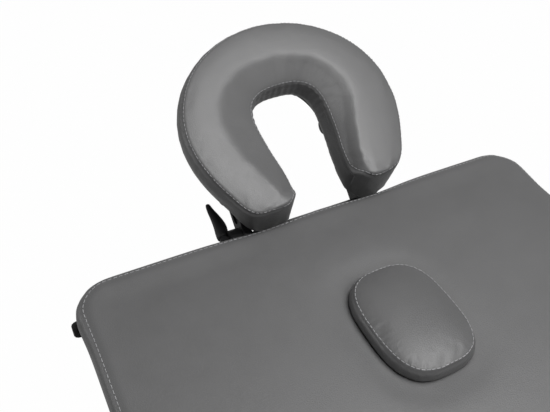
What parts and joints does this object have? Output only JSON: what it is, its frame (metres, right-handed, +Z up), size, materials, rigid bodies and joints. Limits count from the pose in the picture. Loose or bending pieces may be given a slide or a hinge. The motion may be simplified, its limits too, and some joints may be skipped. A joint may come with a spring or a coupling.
{
  "type": "massage table",
  "caption": "Folding massage table with a dark grey padded top, breath-hole plug, tilting face cradle and telescopic aluminium legs.",
  "frame": {"origin": "middle of the bounding box's bottom, on the floor", "axes": "+Y to the head end, +X to the carrying-handle side, +Z up"},
  "size_m": [0.7156, 2.0961, 0.8127],
  "materials": {
    "pad_leather": "smooth dark grey polyurethane leather with a fine grain and a soft sheen",
    "cradle_leather": "the same dark grey polyurethane leather, drawn over foam with sewn seams",
    "plywood": "thin birch plywood, clear sealed",
    "alloy": "extruded and satin anodised",
    "zinc_steel": "pressed steel, bright zinc plated",
    "moulded_plastic": "black moulded nylon with a fine spark texture",
    "black_rubber": "matt black rubber"
  },
  "bodies": {
    "head_half": {"head_pad": "pad_leather", "head_board": "plywood", "head_side_rails": "alloy", "head_cross_rails": "alloy", "head_corners": "moulded_plastic", "head_sockets": "moulded_plastic", "head_bumpers": "black_rubber", "head_hinge_leaves": "zinc_steel", "head_leg_mounts": "zinc_steel", "head_brace_mounts": "zinc_steel", "latch_pivots": "zinc_steel", "head_handle_clips": "moulded_plastic"},
    "foot_half": {"foot_pad": "pad_leather", "foot_board": "plywood", "foot_side_rails": "alloy", "foot_cross_rails": "alloy", "foot_corners": "moulded_plastic", "foot_sockets": "moulded_plastic", "foot_bumpers": "black_rubber", "foot_hinge_leaves": "zinc_steel", "foot_leg_mounts": "zinc_steel", "foot_brace_mounts": "zinc_steel", "latch_studs": "zinc_steel", "foot_handle_clips": "moulded_plastic"},
    "head_legs": {"head_upper_legs": "alloy", "head_crossbar": "alloy", "head_collars": "moulded_plastic"},
    "foot_legs": {"foot_upper_legs": "alloy", "foot_crossbar": "alloy", "foot_collars": "moulded_plastic"},
    "head_leg_end_left": {"head_lower_leg_left": "alloy", "head_tip_left": "black_rubber"},
    "head_clamp_left": {"head_knob_left": "moulded_plastic"},
    "head_leg_end_right": {"head_lower_leg_right": "alloy", "head_tip_right": "black_rubber"},
    "head_clamp_right": {"head_knob_right": "moulded_plastic"},
    "head_brace_top": {"head_brace_upper": "zinc_steel"},
    "head_brace_bottom": {"head_brace_lower": "zinc_steel"},
    "head_carry_handle": {"head_handle": "moulded_plastic"},
    "foot_leg_end_left": {"foot_lower_leg_left": "alloy", "foot_tip_left": "black_rubber"},
    "foot_clamp_left": {"foot_knob_left": "moulded_plastic"},
    "foot_leg_end_right": {"foot_lower_leg_right": "alloy", "foot_tip_right": "black_rubber"},
    "foot_clamp_right": {"foot_knob_right": "moulded_plastic"},
    "foot_brace_top": {"foot_brace_upper": "zinc_steel"},
    "foot_brace_bottom": {"foot_brace_lower": "zinc_steel"},
    "foot_carry_handle": {"foot_handle": "moulded_plastic"},
    "head_latch_hook": {"head_latch": "zinc_steel"},
    "centre_latch_hook": {"centre_latch": "zinc_steel"},
    "plug": {"face_plug": "cradle_leather"},
    "cradle_frame": {"cradle_posts": "alloy", "cradle_base": "moulded_plastic", "lower_bolt": "zinc_steel"},
    "lower_cam": {"lower_lever": "moulded_plastic"},
    "cradle_arm": {"cradle_arms": "moulded_plastic"},
    "cushion_platform": {"platform": "moulded_plastic", "upper_bolt": "zinc_steel"},
    "upper_cam": {"upper_lever": "moulded_plastic"},
    "cushion": {"head_cushion": "cradle_leather"}
  },
  "joints": [
    {"name": "centre_fold", "type": "hinge", "parent": "head_half", "child": "foot_half", "pos_m": [0, -0.12, 0.542], "axis": [1, 0, 0], "range_deg": [0, 180]},
    {"name": "head_legs_fold", "type": "hinge", "parent": "head_half", "child": "head_legs", "pos_m": [0, 0.73, 0.568], "axis": [1, 0, 0], "range_deg": [-94, 0]},
    {"name": "head_brace_top_fold", "type": "hinge", "parent": "head_half", "child": "head_brace_top", "pos_m": [0, 0.45, 0.568], "axis": [1, 0, 0], "range_deg": [0, 38.91]},
    {"name": "head_brace_bottom_fold", "type": "hinge", "parent": "head_legs", "child": "head_brace_bottom", "pos_m": [0, 0.74674, 0.32859], "axis": [1, 0, 0], "range_deg": [-47.11, 0]},
    {"name": "head_leg_extension_left", "type": "slide", "parent": "head_legs", "child": "head_leg_end_left", "axis": [0, 0.0698, -0.9976], "range_m": [0, 0.2]},
    {"name": "head_knob_turn_left", "type": "hinge", "parent": "head_legs", "child": "head_clamp_left", "pos_m": [-0.3, 0.75476, 0.21386], "axis": [1, 0, 0], "range_deg": [0, 360]},
    {"name": "head_leg_extension_right", "type": "slide", "parent": "head_legs", "child": "head_leg_end_right", "axis": [0, 0.0698, -0.9976], "range_m": [0, 0.2]},
    {"name": "head_knob_turn_right", "type": "hinge", "parent": "head_legs", "child": "head_clamp_right", "pos_m": [0.3, 0.75476, 0.21386], "axis": [1, 0, 0], "range_deg": [0, 360]},
    {"name": "foot_legs_fold", "type": "hinge", "parent": "foot_half", "child": "foot_legs", "pos_m": [0, -0.97, 0.568], "axis": [1, 0, 0], "range_deg": [0, 94]},
    {"name": "foot_brace_top_fold", "type": "hinge", "parent": "foot_half", "child": "foot_brace_top", "pos_m": [0, -0.69, 0.568], "axis": [1, 0, 0], "range_deg": [-38.91, 0]},
    {"name": "foot_brace_bottom_fold", "type": "hinge", "parent": "foot_legs", "child": "foot_brace_bottom", "pos_m": [0, -0.98674, 0.32859], "axis": [1, 0, 0], "range_deg": [0, 47.11]},
    {"name": "foot_leg_extension_left", "type": "slide", "parent": "foot_legs", "child": "foot_leg_end_left", "axis": [0, -0.0698, -0.9976], "range_m": [0, 0.2]},
    {"name": "foot_knob_turn_left", "type": "hinge", "parent": "foot_legs", "child": "foot_clamp_left", "pos_m": [-0.254, -0.99476, 0.21386], "axis": [1, 0, 0], "range_deg": [0, 360]},
    {"name": "foot_leg_extension_right", "type": "slide", "parent": "foot_legs", "child": "foot_leg_end_right", "axis": [0, -0.0698, -0.9976], "range_m": [0, 0.2]},
    {"name": "foot_knob_turn_right", "type": "hinge", "parent": "foot_legs", "child": "foot_clamp_right", "pos_m": [0.254, -0.99476, 0.21386], "axis": [1, 0, 0], "range_deg": [0, 360]},
    {"name": "head_handle_swing", "type": "hinge", "parent": "head_half", "child": "head_carry_handle", "pos_m": [0.351, 0.18, 0.574], "axis": [0, -1, 0], "range_deg": [0, 90]},
    {"name": "foot_handle_swing", "type": "hinge", "parent": "foot_half", "child": "foot_carry_handle", "pos_m": [0.351, -0.42, 0.574], "axis": [0, -1, 0], "range_deg": [0, 90]},
    {"name": "head_latch_swing", "type": "hinge", "parent": "head_half", "child": "head_latch_hook", "pos_m": [0.3445, 0.64, 0.56], "axis": [-1, 0, 0], "range_deg": [0, 90]},
    {"name": "centre_latch_swing", "type": "hinge", "parent": "head_half", "child": "centre_latch_hook", "pos_m": [0.3445, 0.02, 0.56], "axis": [-1, 0, 0], "range_deg": [0, 90]},
    {"name": "plug_lift", "type": "slide", "parent": "head_half", "child": "plug", "axis": [0, 0, 1], "range_m": [0, 0.1]},
    {"name": "cradle_reach", "type": "slide", "parent": "head_half", "child": "cradle_frame", "axis": [0, 1, 0], "range_m": [0, 0.08]},
    {"name": "cradle_arm_hinge", "type": "hinge", "parent": "cradle_frame", "child": "cradle_arm", "pos_m": [0, 0.838, 0.59], "axis": [1, 0, 0], "range_deg": [-30, 2]},
    {"name": "cradle_tilt", "type": "hinge", "parent": "cradle_arm", "child": "cushion_platform", "pos_m": [0, 0.93993, 0.66495], "axis": [1, 0, 0], "range_deg": [-45, 2]},
    {"name": "cushion_lift", "type": "slide", "parent": "cushion_platform", "child": "cushion", "axis": [0, -0.5, 0.866], "range_m": [0, 0.1]},
    {"name": "lower_lever_swing", "type": "hinge", "parent": "cradle_frame", "child": "lower_cam", "pos_m": [-0.13, 0.838, 0.59], "axis": [0, 0, 1], "range_deg": [0, 100]},
    {"name": "upper_lever_swing", "type": "hinge", "parent": "cushion_platform", "child": "upper_cam", "pos_m": [0.1125, 0.93993, 0.66495], "axis": [0, 0.5, -0.866], "range_deg": [0, 100]}
  ],
  "couplings": [
    {"joint": "head_legs_fold", "follows": "centre_fold", "ratio": -0.52222},
    {"joint": "head_brace_top_fold", "follows": "centre_fold", "ratio": 0.21609},
    {"joint": "head_brace_bottom_fold", "follows": "centre_fold", "ratio": -0.26168},
    {"joint": "foot_legs_fold", "follows": "centre_fold", "ratio": 0.52222},
    {"joint": "foot_brace_top_fold", "follows": "centre_fold", "ratio": -0.21609},
    {"joint": "foot_brace_bottom_fold", "follows": "centre_fold", "ratio": 0.26168}
  ]
}
